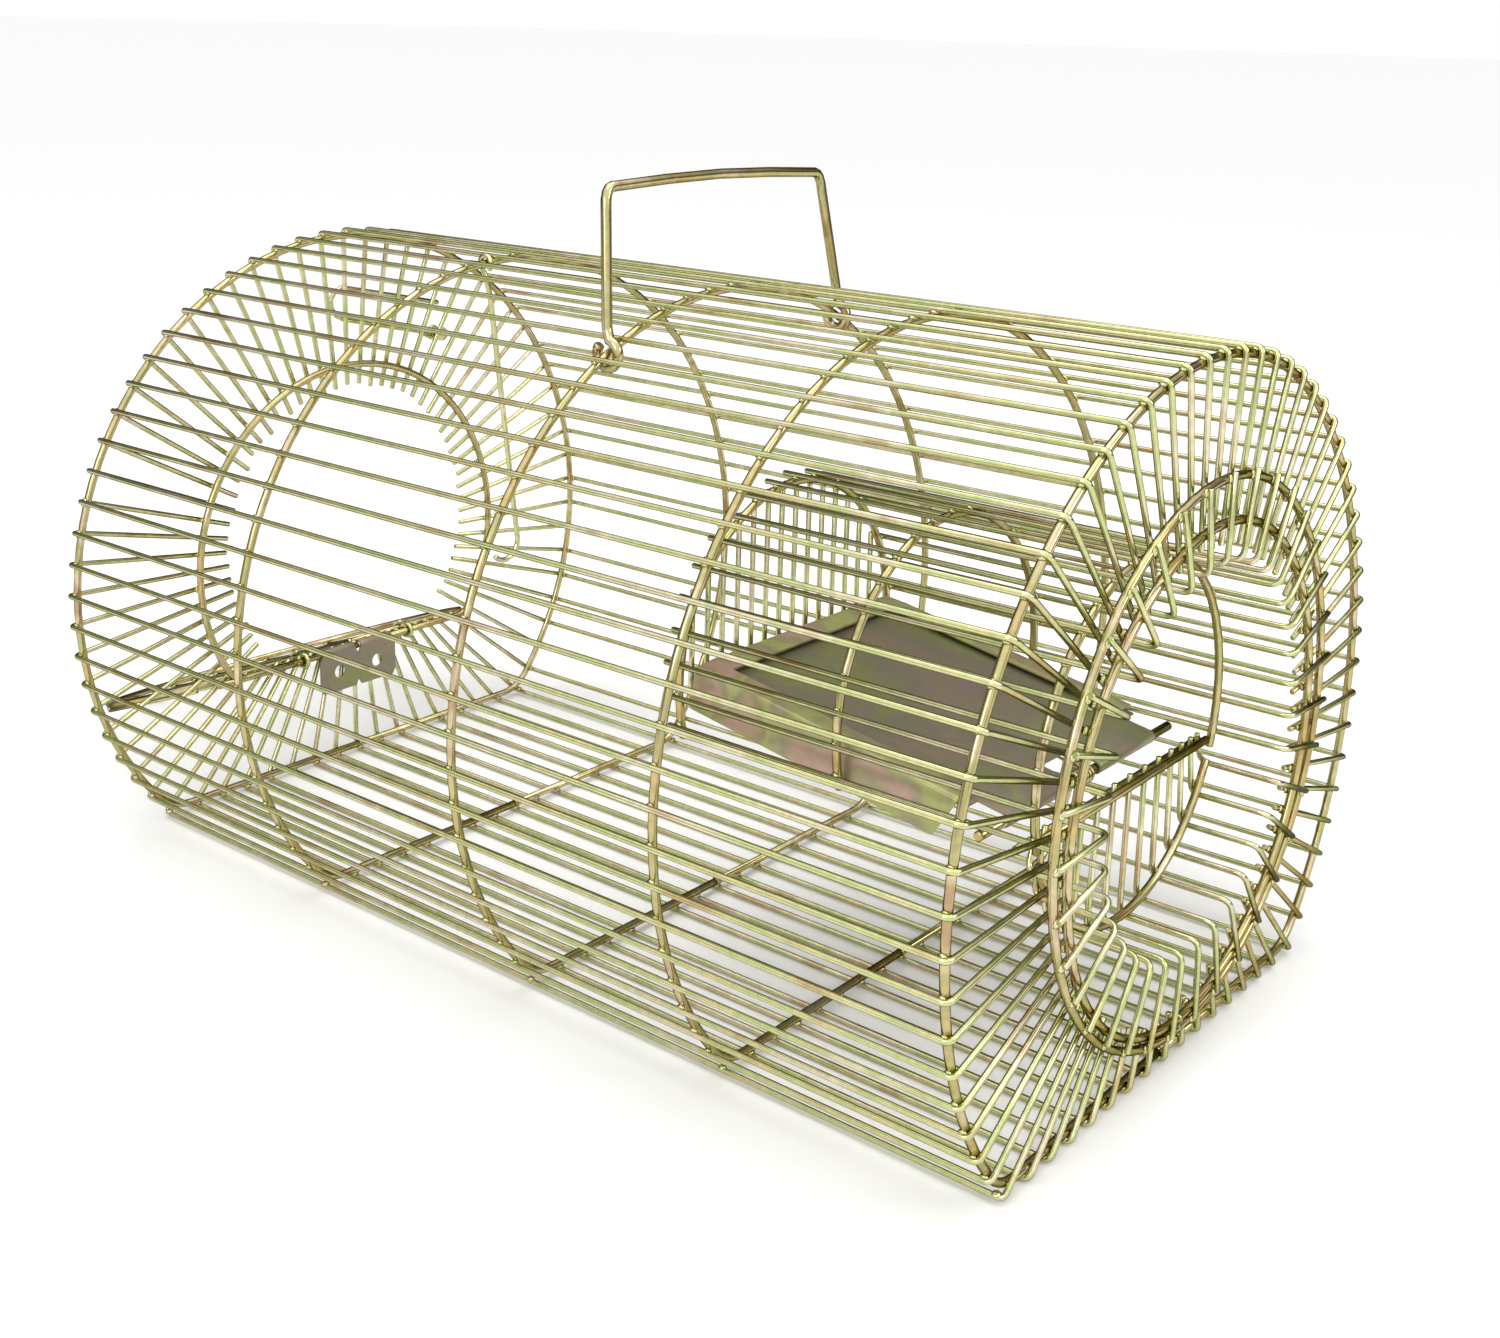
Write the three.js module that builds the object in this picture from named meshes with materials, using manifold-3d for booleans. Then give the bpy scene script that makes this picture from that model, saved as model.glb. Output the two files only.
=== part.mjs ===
// A live-catch cage trap of welded wire: a barrel cage with a flat floor, a funnel mouth with a
// tilting treadle behind it, a rear door, a bait hook and a carrying handle.
// Millimetres, +Z up, +X from the rear of the barrel towards its mouth. Until the last lines z is
// measured from the barrel's axis and x from the rear hoop.
import * as THREE from 'three';
import Module from 'manifold-3d';
import { mergeVertices } from 'three/addons/utils/BufferGeometryUtils.js';

const solids = await Module();
solids.setup();

// Wire sizes, as radii, and the gap that separates two pieces that are welded together.
const HOOP_WIRE = 1.3;
const CAGE_WIRE = 0.9;
const GAP = 0.3;
const LAY = HOOP_WIRE + CAGE_WIRE + GAP; // from a hoop's centre line to that of a wire laid on it
const WIRE_SIDES = 4;
const HOOP_SIDES = 6;

// Barrel.
const BARREL_RADIUS = 122;
const FLOOR_Z = -84;
const HOOP_X = [0, 90, 189, 266, 357];
const FRONT_X = HOOP_X[4];
const HOOP_CORNER = 8;
const ARC_WIRES = 53;
const FLOOR_WIRES = 15;
const WIRES_PER_PANEL = 5;
const REAR_CUT_RADIUS = 58;
const REAR_CUT_Z = 5.5;
const FRONT_CUT_RADIUS = 69.5;
const REAR_FLOOR_AIM_Z = 2; // the floor wires' rear ends lean towards this height
const TIE_WIRE = 0.5;

// Rear opening and its door.
const REAR_RING_RADIUS = 72;
const REAR_BAR_Z = -42;
const DOOR_RADIUS = 73.5;
const DOOR_X = -(LAY + CAGE_WIRE + GAP + HOOP_WIRE);
const DOOR_OPEN = THREE.MathUtils.degToRad(-111);
const HINGE_CLIP_Y = 26.4;
const DOOR_WIRE_PITCH = 11;
const DOOR_WIRES_EACH_SIDE = 6;

// Mouth and tunnel. The tunnel's axis is a little above the barrel's.
const THROAT_RING_RADIUS = 74;
const THROAT_RING_Z = 2.7;
const MOUTH_RING_RADIUS = 81.9;
const MOUTH_RING_Z = 7.5;
const TUNNEL_Z = 8.5;
const TUNNEL_RADIUS = 57;
const ARCH_RADIUS = TUNNEL_RADIUS - LAY;
const TUNNEL_WIRES = 35;
const ROOF_WIRES_EACH_SIDE = 10;
const MOUTH_X = FRONT_X + 2 * LAY;
const TUNNEL_FRONT_X = MOUTH_X + LAY;
const ARCH_X = [217, 276, 341];
const ARCH_END = THREE.MathUtils.degToRad(-18);
const SILL_X = ARCH_X[2];
const GRID_X = SILL_X - LAY;
const SILL_Z = -5.4;
const WIRE_TAIL = 2;

// Treadle, tilted up towards the rear at rest, and the frame over its edges.
const ROD_RADIUS = 1.5;
const PIVOT_X = 325;
const PIVOT_Z = -6.9;
const TREADLE_TILT = THREE.MathUtils.degToRad(9.4);
const SHEET = 0.8;
const PLATE_HALF_WIDTH = 49.2;
const PLATE_LENGTH = 105;
const PLATE_FRONT = -9;
const FRAME_HALF_WIDTH = 50.6;
const FRAME_LIP = 8;
const FRAME_SKIRT = 14.5;
const FRAME_RISE = 1.2; // from the plate up to the lip

// Handle, bait hook and latch.
const HANDLE_WIRE = 1.5;
const HANDLE_EYE = 4.2;
const HANDLE_HEIGHT = 48.5;
const HANDLE_TILT = THREE.MathUtils.degToRad(-7);
const HOOK_WIRE = 0.8;
const HOOK_Y = -13.3;
const LATCH_WIRE = 0.9;
const LATCH_X = DOOR_X - LAY - 2 * CAGE_WIRE - GAP;

// A path through given corners, each corner one step of the extrusion.
class BentWire extends THREE.Curve {
  constructor(points) {
    super();
    this.points = points;
  }

  getPoint(t) {
    const last = this.points.length - 1;
    const place = Math.min(Math.max(t, 0), 1) * last;
    const index = Math.min(Math.floor(place), last - 1);
    return this.points[index].clone().lerp(this.points[index + 1], place - index);
  }

  getUtoTmapping(u) {
    return u;
  }
}

const at = (x, y, z) => new THREE.Vector3(x, y, z);
const radians = THREE.MathUtils.degToRad;

// The point of a circle about the X direction, at height z for its centre.
function onCircle(x, radius, angle, centreZ = 0) {
  return at(x, radius * Math.cos(angle), centreZ + radius * Math.sin(angle));
}

function arc(x, radius, from, to, steps, centreZ = 0) {
  return Array.from({ length: steps + 1 }, (_, i) => (
    onCircle(x, radius, from + ((to - from) * i) / steps, centreZ)
  ));
}

// Cuts each inner corner of a path, so that a bend has two small turns.
function bent(points, cut) {
  const path = [points[0]];
  for (let i = 1; i < points.length - 1; i += 1) {
    const back = points[i - 1].clone().sub(points[i]).setLength(cut);
    const on = points[i + 1].clone().sub(points[i]).setLength(cut);
    path.push(points[i].clone().add(back), points[i].clone().add(on));
  }
  path.push(points[points.length - 1]);
  return path;
}

function rod(points, radius, sides) {
  const section = new THREE.Shape(Array.from({ length: sides }, (_, i) => {
    const angle = (2 * Math.PI * i) / sides;
    return new THREE.Vector2(radius * Math.cos(angle), radius * Math.sin(angle));
  }));
  const extrudePath = new BentWire(points);
  return new THREE.ExtrudeGeometry(section, { steps: points.length - 1, extrudePath });
}

const wire = (points) => rod(points, CAGE_WIRE, WIRE_SIDES);
const hoopWire = (points) => rod(points, HOOP_WIRE, HOOP_SIDES);

// A flat outline in X and Z, extruded across Y from one side to the other.
function across(outline, fromY, toY) {
  const geometry = new THREE.ExtrudeGeometry(outline, {
    depth: toY - fromY, bevelEnabled: false, curveSegments: 5,
  });
  return geometry.rotateX(Math.PI / 2).translate(0, toY, 0);
}

function block(x, y, z) {
  const geometry = new THREE.BoxGeometry(x[1] - x[0], y[1] - y[0], z[1] - z[0]);
  return geometry.translate((x[0] + x[1]) / 2, (y[0] + y[1]) / 2, (z[0] + z[1]) / 2);
}

function solid(geometry) {
  const bare = geometry.clone();
  bare.deleteAttribute('normal');
  bare.deleteAttribute('uv');
  const merged = mergeVertices(bare, 1e-4);
  const vertProperties = new Float32Array(merged.attributes.position.array);
  const triVerts = new Uint32Array(merged.index.array);
  return new solids.Manifold(new solids.Mesh({ numProp: 3, vertProperties, triVerts }));
}

function toGeometry(joined) {
  const mesh = joined.getMesh();
  const geometry = new THREE.BufferGeometry();
  geometry.setAttribute('position', new THREE.BufferAttribute(mesh.vertProperties, 3));
  geometry.setIndex(new THREE.BufferAttribute(mesh.triVerts, 1));
  return geometry;
}

const joined = (geometries) => toGeometry(geometries.map(solid).reduce((a, b) => a.add(b)));
const cutFrom = (geometry, tools) => (
  toGeometry(tools.map(solid).reduce((a, b) => a.subtract(b), solid(geometry)))
);

const trap = new THREE.Group();
const finishes = {
  wire: { color: 0xc3c08c, roughness: 0.35, metalness: 0.8 },
  hoop: { color: 0xa89c62, roughness: 0.38, metalness: 0.8 },
  sheet: { color: 0x9c9078, roughness: 0.3, metalness: 0.85 },
};

function add(name, geometry, finish, parent = trap) {
  const mesh = new THREE.Mesh(geometry, new THREE.MeshStandardMaterial(finishes[finish]));
  mesh.name = name;
  parent.add(mesh);
}

// A ring with a flat bottom bar, bent from one wire whose ends butt at the middle of the bar.
function flatBottomRing(x, radius, barZ, corner, steps) {
  const cornerAngle = Math.asin(barZ / radius);
  const turn = corner / radius;
  const barEnd = radius * Math.cos(cornerAngle) - corner;
  return hoopWire([
    at(x, GAP / 2, barZ),
    at(x, barEnd, barZ),
    ...arc(x, radius, cornerAngle + turn, Math.PI - cornerAngle - turn, steps),
    at(x, -barEnd, barZ),
    at(x, -GAP / 2, barZ),
  ]);
}

function roundRing(x, radius, centreZ) {
  const halfGap = GAP / 2 / radius;
  const bottom = -Math.PI / 2;
  return hoopWire(arc(x, radius, bottom + halfGap, bottom + 2 * Math.PI - halfGap, 36, centreZ));
}

const hoopNames = ['hoop_rear', 'hoop_second', 'hoop_middle', 'hoop_fourth', 'hoop_front'];
hoopNames.forEach((name, i) => {
  add(name, flatBottomRing(HOOP_X[i], BARREL_RADIUS, FLOOR_Z, HOOP_CORNER, 30), 'hoop');
});
add('rear_ring', flatBottomRing(0, REAR_RING_RADIUS, REAR_BAR_Z, 5, 24), 'hoop');
add('throat_ring', roundRing(MOUTH_X, THROAT_RING_RADIUS, THROAT_RING_Z), 'hoop');
add('mouth_ring', roundRing(MOUTH_X, MOUTH_RING_RADIUS, MOUTH_RING_Z), 'hoop');

// A cage wire runs along the outside of the hoops and turns in over the first and the last hoop.
// rearEnd and frontEnd are its cut ends, in Y and Z.
function cageWire(outside, rearEnd, frontEnd) {
  const rearX = -LAY;
  const frontX = FRONT_X + LAY;
  const bendCut = LAY * (1 - Math.tan(Math.PI / 8));
  return wire(bent([
    at(rearX, rearEnd.x, rearEnd.y),
    at(rearX, outside.x, outside.y),
    at(frontX, outside.x, outside.y),
    at(frontX, frontEnd.x, frontEnd.y),
  ], bendCut));
}

const inPlane = (radius, angle) => (
  new THREE.Vector2(radius * Math.cos(angle), radius * Math.sin(angle))
);

// The thin tie along the rear ring joins the wires of one panel, as their welds to the ring do.
function panel(wires) {
  const tie = rod(wires.map(({ tieAt }) => at(-LAY, tieAt.x, tieAt.y)), TIE_WIRE, WIRE_SIDES);
  return joined([tie, ...wires.map((w) => cageWire(w.outside, w.rearEnd, w.frontEnd))]);
}

function arcWires() {
  const lowest = Math.asin(FLOOR_Z / BARREL_RADIUS);
  return Array.from({ length: ARC_WIRES }, (_, i) => {
    const angle = lowest + ((Math.PI - 2 * lowest) * i) / (ARC_WIRES - 1);
    const barRadius = Math.abs(REAR_BAR_Z / Math.sin(angle));
    const overBar = Math.sin(angle) < 0 && barRadius < REAR_RING_RADIUS;
    const cutRadius = REAR_CUT_Z * Math.sin(angle)
      + Math.sqrt(REAR_CUT_RADIUS ** 2 - (REAR_CUT_Z * Math.cos(angle)) ** 2);
    const rearRadius = overBar ? barRadius * (1 + WIRE_TAIL / REAR_BAR_Z) : cutRadius;
    return {
      outside: inPlane(BARREL_RADIUS + LAY, angle),
      rearEnd: inPlane(rearRadius, angle),
      frontEnd: inPlane(FRONT_CUT_RADIUS, angle),
      tieAt: inPlane(REAR_RING_RADIUS, angle),
    };
  });
}

function floorWires() {
  const halfWidth = Math.sqrt(BARREL_RADIUS ** 2 - FLOOR_Z ** 2);
  const outsideZ = FLOOR_Z - LAY;
  return Array.from({ length: FLOOR_WIRES }, (_, i) => {
    const y = halfWidth * ((2 * (i + 1)) / (FLOOR_WIRES + 1) - 1);
    const leaning = (z) => (
      new THREE.Vector2((y * (REAR_FLOOR_AIM_Z - z)) / (REAR_FLOOR_AIM_Z - outsideZ), z)
    );
    return {
      outside: new THREE.Vector2(y, outsideZ),
      rearEnd: leaning(REAR_BAR_Z + WIRE_TAIL),
      frontEnd: inPlane(FRONT_CUT_RADIUS, Math.atan2(outsideZ, y)),
      tieAt: leaning(REAR_BAR_Z),
    };
  });
}

function addPanels(prefix, wires) {
  for (let i = 0; i < wires.length; i += WIRES_PER_PANEL) {
    const number = String(i / WIRES_PER_PANEL + 1).padStart(2, '0');
    add(prefix + number, panel(wires.slice(i, i + WIRES_PER_PANEL)), 'wire');
  }
}

addPanels('cage_wires_', arcWires());
addPanels('floor_wires_', floorWires());

// Tunnel wires start in front of the mouth ring, turn in to the tunnel's radius and run back. Those
// of the roof reach the back arch. Those of the funnel floor turn up and lean in to the sill bar.
const tunnelAngle = (index) => Math.PI / 2 + (2 * Math.PI * index) / TUNNEL_WIRES;

function tunnelWire(index) {
  const angle = tunnelAngle(index);
  const low = onCircle(GRID_X, TUNNEL_RADIUS, angle, TUNNEL_Z);
  const path = [
    onCircle(TUNNEL_FRONT_X, MOUTH_RING_RADIUS + WIRE_TAIL / 2, angle, TUNNEL_Z),
    onCircle(TUNNEL_FRONT_X, TUNNEL_RADIUS, angle, TUNNEL_Z),
  ];
  if (Math.abs(index) <= ROOF_WIRES_EACH_SIDE) {
    path.push(onCircle(ARCH_X[0] - 2 * WIRE_TAIL, TUNNEL_RADIUS, angle, TUNNEL_Z));
  } else {
    path.push(low, at(GRID_X, 0.92 * low.y, SILL_Z + WIRE_TAIL));
  }
  return wire(bent(path, 2));
}

function tunnelWires(from, to) {
  const indices = Array.from({ length: to - from + 1 }, (_, i) => from + i);
  const tiePoints = indices.map((index) => (
    onCircle(TUNNEL_FRONT_X, MOUTH_RING_RADIUS - WIRE_TAIL, tunnelAngle(index), TUNNEL_Z)
  ));
  return joined([rod(tiePoints, TIE_WIRE, WIRE_SIDES), ...indices.map(tunnelWire)]);
}

const lastWire = (TUNNEL_WIRES - 1) / 2;
add('tunnel_roof_wires_left', tunnelWires(-ROOF_WIRES_EACH_SIDE, -4), 'wire');
add('tunnel_roof_wires_top', tunnelWires(-3, 3), 'wire');
add('tunnel_roof_wires_right', tunnelWires(4, ROOF_WIRES_EACH_SIDE), 'wire');
add('funnel_floor_wires_left', tunnelWires(-lastWire, -ROOF_WIRES_EACH_SIDE - 1), 'wire');
add('funnel_floor_wires_right', tunnelWires(ROOF_WIRES_EACH_SIDE + 1, lastWire), 'wire');

['tunnel_arch_back', 'tunnel_arch_middle', 'tunnel_arch_front'].forEach((name, i) => {
  add(name, hoopWire(arc(ARCH_X[i], ARCH_RADIUS, ARCH_END, Math.PI - ARCH_END, 16, TUNNEL_Z)), 'hoop');
});

const crossBar = (x, z, radius, halfLength) => (
  rod([at(x, -halfLength, z), at(x, halfLength, z)], radius, HOOP_SIDES)
);
add('sill_bar', crossBar(SILL_X, SILL_Z, HOOP_WIRE, 50), 'hoop');
add('sill_rear_bar', crossBar(GRID_X - LAY, SILL_Z - 2.6, HOOP_WIRE, 55), 'hoop');
add('sill_half_ring', hoopWire(
  arc(SILL_X, ARCH_RADIUS, radians(202), radians(338), 14, TUNNEL_Z),
), 'hoop');

// The grille that closes the tunnel's far end, welded to the back of the last arch.
function backGrille() {
  const count = 14;
  const pitch = 7.2;
  const bottom = 5;
  const x = ARCH_X[0] - LAY;
  const half = ((count - 1) * pitch) / 2;
  const uprights = Array.from({ length: count }, (_, i) => {
    const y = i * pitch - half;
    const top = TUNNEL_Z + Math.sqrt(ARCH_RADIUS ** 2 - y ** 2);
    return wire([at(x, y, bottom - WIRE_TAIL), at(x, y, top)]);
  });
  return joined([wire([at(x, -half - WIRE_TAIL, bottom), at(x, half + WIRE_TAIL, bottom)]), ...uprights]);
}
add('back_grille', backGrille(), 'wire');

// Treadle pieces are drawn about the pivot, lying flat, and tilted together.
const tilted = new THREE.Group();
tilted.position.set(PIVOT_X, 0, PIVOT_Z);
tilted.rotation.y = TREADLE_TILT;
trap.add(tilted);

add('pivot_rod', crossBar(PIVOT_X, PIVOT_Z, ROD_RADIUS, 56.5), 'hoop');

// The plate, with two ears at its front edge curled round the pivot rod.
function treadlePlate() {
  const inner = ROD_RADIUS + GAP;
  const outer = inner + SHEET;
  const curlEnd = radians(-150);
  const ear = new THREE.Shape();
  ear.moveTo(PLATE_FRONT - 1, outer);
  ear.lineTo(0, outer);
  ear.absarc(0, 0, outer, Math.PI / 2, curlEnd, true);
  ear.lineTo(inner * Math.cos(curlEnd), inner * Math.sin(curlEnd));
  ear.absarc(0, 0, inner, curlEnd, Math.PI / 2, false);
  ear.lineTo(PLATE_FRONT - 1, inner);
  ear.closePath();
  const plate = block(
    [-PLATE_LENGTH, PLATE_FRONT], [-PLATE_HALF_WIDTH, PLATE_HALF_WIDTH], [inner, outer],
  );
  return joined([plate, across(ear, -43, -8.5), across(ear, 8.5, 43)]);
}
add('treadle_plate', treadlePlate(), 'sheet', tilted);

// The fixed frame: a lip over the plate's edges, which stops its upward swing, and a skirt outside.
function treadFrame() {
  const under = ROD_RADIUS + GAP + SHEET + FRAME_RISE;
  const top = under + SHEET;
  const rear = -PLATE_LENGTH - 2.4;
  const front = PLATE_FRONT - 2;
  const innerLip = FRAME_HALF_WIDTH - FRAME_LIP;
  const pieces = [-1, 1].flatMap((side) => {
    const lip = [side * innerLip, side * FRAME_HALF_WIDTH].sort((a, b) => a - b);
    const skirt = [side * (FRAME_HALF_WIDTH - SHEET), side * FRAME_HALF_WIDTH].sort((a, b) => a - b);
    return [
      block([rear, front], lip, [under, top]),
      block([rear, front], skirt, [top - FRAME_SKIRT, top]),
    ];
  });
  pieces.push(
    block([rear, rear + FRAME_LIP], [-FRAME_HALF_WIDTH, FRAME_HALF_WIDTH], [under, top]),
    block([rear, rear + SHEET], [-FRAME_HALF_WIDTH, FRAME_HALF_WIDTH], [top - FRAME_SKIRT, top]),
  );
  return joined(pieces);
}
add('tread_frame', treadFrame(), 'sheet', tilted);

// A torsion spring round the rod between the ears, one leg under the plate, one towards the sill.
function returnSpring() {
  const coilRadius = ROD_RADIUS + GAP + 0.5;
  const turns = 5.5;
  const stepsPerTurn = 8;
  const pitch = 1.6;
  const startY = (-turns * pitch) / 2;
  const coil = Array.from({ length: turns * stepsPerTurn + 1 }, (_, i) => {
    const angle = (2 * Math.PI * i) / stepsPerTurn;
    const y = startY + (pitch * i) / stepsPerTurn;
    return at(coilRadius * Math.cos(angle), y, coilRadius * Math.sin(angle));
  });
  return rod([at(9, startY, -1.2), ...coil, at(-16, -startY, 0.9)], 0.45, WIRE_SIDES);
}
add('return_spring', returnSpring(), 'wire', tilted);

// Carrying handle: a wire bail whose end eyes hang loose on the middle hoop.
const wirePitch = (Math.PI - 2 * Math.asin(FLOOR_Z / BARREL_RADIUS)) / (ARC_WIRES - 1);
const betweenWires = (count) => Math.PI / 2 - wirePitch * count;

function handleBail(eyeY) {
  const eye = (side, degrees) => {
    const angle = radians(degrees);
    return at(HANDLE_EYE * Math.cos(angle), side * eyeY, HANDLE_EYE * Math.sin(angle));
  };
  const leg = (side) => [
    ...[140, 180, 220, 260, 300, 340, 20, 55].map((degrees) => eye(side, degrees)),
    at(0.6, side * eyeY, 8),
    at(0, side * 53.5, HANDLE_HEIGHT - 3),
    at(0, side * 50.5, HANDLE_HEIGHT),
  ];
  const top = [-25, 0, 25].map((y) => at(0, y, HANDLE_HEIGHT + 2 - Math.abs(y) / 25));
  return rod([...leg(-1), ...top, ...leg(1).reverse()], HANDLE_WIRE, HOOP_SIDES);
}

const handleEye = onCircle(HOOP_X[2], BARREL_RADIUS, betweenWires(5.5));
const handle = new THREE.Group();
handle.position.set(handleEye.x, 0, handleEye.z);
handle.rotation.y = HANDLE_TILT;
trap.add(handle);
add('handle_bail', handleBail(handleEye.y), 'hoop', handle);

// Bait hook: a wire that hangs by an eye from the second hoop, beside a cage wire. It slants
// across to a bend that lies under the middle of the barrel's top.
function baitHook() {
  const eyeRadius = HOOP_WIRE + HOOK_WIRE + 0.5;
  const hang = 102;
  const bend = 6.5;
  const slant = 1.5 - HOOK_Y;
  const eye = [-55, -10, 35, 80, 125, 170, 215].map((degrees) => (
    at(eyeRadius * Math.cos(radians(degrees)), 0, eyeRadius * Math.sin(radians(degrees)))
  ));
  const hook = [0, -45, -90, -135].map((degrees) => (
    at(0, slant + bend * (Math.cos(radians(degrees)) - 1), bend * Math.sin(radians(degrees)) - hang)
  ));
  const topZ = Math.sqrt(BARREL_RADIUS ** 2 - HOOK_Y ** 2);
  return rod([...eye, at(-0.3, 0.6, -6), ...hook], HOOK_WIRE, WIRE_SIDES)
    .translate(HOOP_X[1], HOOK_Y, topZ);
}
add('bait_hook', baitHook(), 'hoop');

// Rear door, drawn closed about its hinge line and then swung open until it rests on the ground.
const door = new THREE.Group();
door.position.set(DOOR_X, 0, REAR_BAR_Z);
door.rotation.y = DOOR_OPEN;
trap.add(door);
add('door_frame', flatBottomRing(0, DOOR_RADIUS, REAR_BAR_Z, 5, 24).translate(0, 0, -REAR_BAR_Z), 'hoop', door);

function doorWires() {
  const x = -LAY;
  const crossZ = 45;
  const centreZ = -REAR_BAR_Z;
  const crossHalf = Math.sqrt(DOOR_RADIUS ** 2 - (crossZ - centreZ) ** 2);
  const uprights = [];
  for (let i = -DOOR_WIRES_EACH_SIDE; i <= DOOR_WIRES_EACH_SIDE; i += 1) {
    const y = i * DOOR_WIRE_PITCH;
    const reach = Math.sqrt(DOOR_RADIUS ** 2 - y ** 2);
    const low = Math.max(0, centreZ - reach) + 0.8;
    uprights.push(wire([at(x, y, low), at(x, y, centreZ + reach + 1)]));
  }
  return joined([wire([at(x, -crossHalf, crossZ), at(x, crossHalf, crossZ)]), ...uprights]);
}
add('door_wires', doorWires(), 'wire', door);

// Two wire clips hold the door's bottom bar to the bar of the rear ring and let it turn.
function hingeClip(y) {
  const reach = HOOP_WIRE + GAP + CAGE_WIRE;
  const round = (centreX, from, to) => [0, 1, 2, 3, 4].map((i) => {
    const angle = radians(from + ((to - from) * i) / 4);
    return at(centreX + reach * Math.cos(angle), y, REAR_BAR_Z + reach * Math.sin(angle));
  });
  return wire([
    at(DOOR_X / 2 - 1, y, REAR_BAR_Z + reach),
    ...round(DOOR_X, 90, 270),
    ...round(0, -90, 90),
    at(DOOR_X / 2 + 1, y, REAR_BAR_Z + reach),
  ]);
}
add('hinge_clip_left', hingeClip(HINGE_CLIP_Y), 'wire');
add('hinge_clip_right', hingeClip(-HINGE_CLIP_Y), 'wire');

// A sheet plate with two holes, hooked over the rear ring's bar between the clips.
function hingePlate() {
  const inner = HOOP_WIRE + GAP;
  const outer = inner + SHEET;
  const curlEnd = radians(100);
  const outline = new THREE.Shape();
  outline.moveTo(inner, -15);
  outline.lineTo(outer, -15);
  outline.lineTo(outer, 0);
  outline.absarc(0, 0, outer, 0, curlEnd, false);
  outline.lineTo(inner * Math.cos(curlEnd), inner * Math.sin(curlEnd));
  outline.absarc(0, 0, inner, curlEnd, 0, true);
  outline.closePath();
  const hole = (y) => new THREE.CylinderGeometry(2.6, 2.6, 4, 16).rotateZ(Math.PI / 2).translate(2, y, -8);
  const plate = cutFrom(across(outline, -20, 18), [hole(-13), hole(11)]);
  return plate.translate(0, 0, REAR_BAR_Z);
}
add('hinge_plate', hingePlate(), 'sheet');

// Latch: a hairpin that swivels on a pin over the rear ring and drops behind the door's rim.
const latchPivot = at(LATCH_X, 51, 78);

function latchPin() {
  const lay = -LAY - CAGE_WIRE - GAP;
  const profile = [[0, lay], [2.8, lay], [2.8, lay - 0.8], [1, lay - 0.8], [1, LATCH_X - 1.4],
    [1.8, LATCH_X - 1.4], [1.8, LATCH_X - 2], [0, LATCH_X - 2]];
  const points = profile.map(([radius, x]) => new THREE.Vector2(radius, x)).reverse();
  return new THREE.LatheGeometry(points, 12).rotateZ(-Math.PI / 2)
    .translate(0, latchPivot.y, latchPivot.z);
}
add('latch_pin', latchPin(), 'hoop');

function doorLatch() {
  const eyeRadius = 1 + GAP + LATCH_WIRE;
  const eye = [200, 160, 110, 60, 10, -40, -90, -130].map((degrees) => (
    at(0, eyeRadius * Math.cos(radians(degrees)), eyeRadius * Math.sin(radians(degrees)))
  ));
  const path = [...eye.reverse(), at(0, -8, 1.4), at(0, -46, 10), at(0, -51, 14), at(0, -52, 18),
    at(0, -49, 21.5), at(0, -44, 22), at(0, 3, 12)];
  return rod(path, LATCH_WIRE, WIRE_SIDES).translate(latchPivot.x, latchPivot.y, latchPivot.z);
}
add('door_latch', doorLatch(), 'hoop');

// The trap stands on its floor wires, with the origin under the middle of its bounding box.
trap.updateMatrixWorld(true);
const bounds = new THREE.Box3().setFromObject(trap, true);
const centre = bounds.getCenter(new THREE.Vector3());
trap.position.set(-centre.x, -centre.y, -bounds.min.z);

export default trap;
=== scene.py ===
import math
import random

import bmesh
import bpy
from mathutils import Matrix, Vector


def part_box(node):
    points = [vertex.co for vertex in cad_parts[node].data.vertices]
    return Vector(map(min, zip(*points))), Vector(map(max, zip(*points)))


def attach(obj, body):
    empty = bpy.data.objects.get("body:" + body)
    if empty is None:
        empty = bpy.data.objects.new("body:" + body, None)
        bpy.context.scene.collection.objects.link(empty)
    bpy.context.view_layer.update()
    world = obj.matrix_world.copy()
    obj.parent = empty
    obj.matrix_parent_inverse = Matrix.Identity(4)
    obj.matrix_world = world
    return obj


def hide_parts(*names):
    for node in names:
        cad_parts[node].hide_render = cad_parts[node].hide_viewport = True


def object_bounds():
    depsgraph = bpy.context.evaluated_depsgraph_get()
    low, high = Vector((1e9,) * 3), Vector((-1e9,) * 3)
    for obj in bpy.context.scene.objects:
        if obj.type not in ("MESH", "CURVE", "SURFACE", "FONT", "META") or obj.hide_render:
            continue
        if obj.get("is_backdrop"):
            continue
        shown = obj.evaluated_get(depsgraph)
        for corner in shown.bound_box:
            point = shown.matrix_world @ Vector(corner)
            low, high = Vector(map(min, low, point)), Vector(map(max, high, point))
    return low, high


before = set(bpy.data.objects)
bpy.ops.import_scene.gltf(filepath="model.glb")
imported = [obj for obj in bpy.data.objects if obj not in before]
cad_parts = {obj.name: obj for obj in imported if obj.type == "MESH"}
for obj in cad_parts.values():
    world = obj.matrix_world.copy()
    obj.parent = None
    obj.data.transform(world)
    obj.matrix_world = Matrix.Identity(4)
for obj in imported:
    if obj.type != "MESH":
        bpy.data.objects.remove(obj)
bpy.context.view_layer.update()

# --- Hoops ---------------------------------------------------------------------------------
# Five hoops of thick soft wire give the barrel its shape. Each is one length, bent to a circle
# with a flat foot and butt-welded at the middle of the foot, then plated in yellow zinc.
hoop_high = Vector(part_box("hoop_rear")[1])
hoop_wire = 0.0013
barrel_radius = 0.122
axis_z = hoop_high.z - barrel_radius - hoop_wire
foot_height = -0.084
hoop_names = ["hoop_rear", "hoop_second", "hoop_middle", "hoop_fourth", "hoop_front"]
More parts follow.
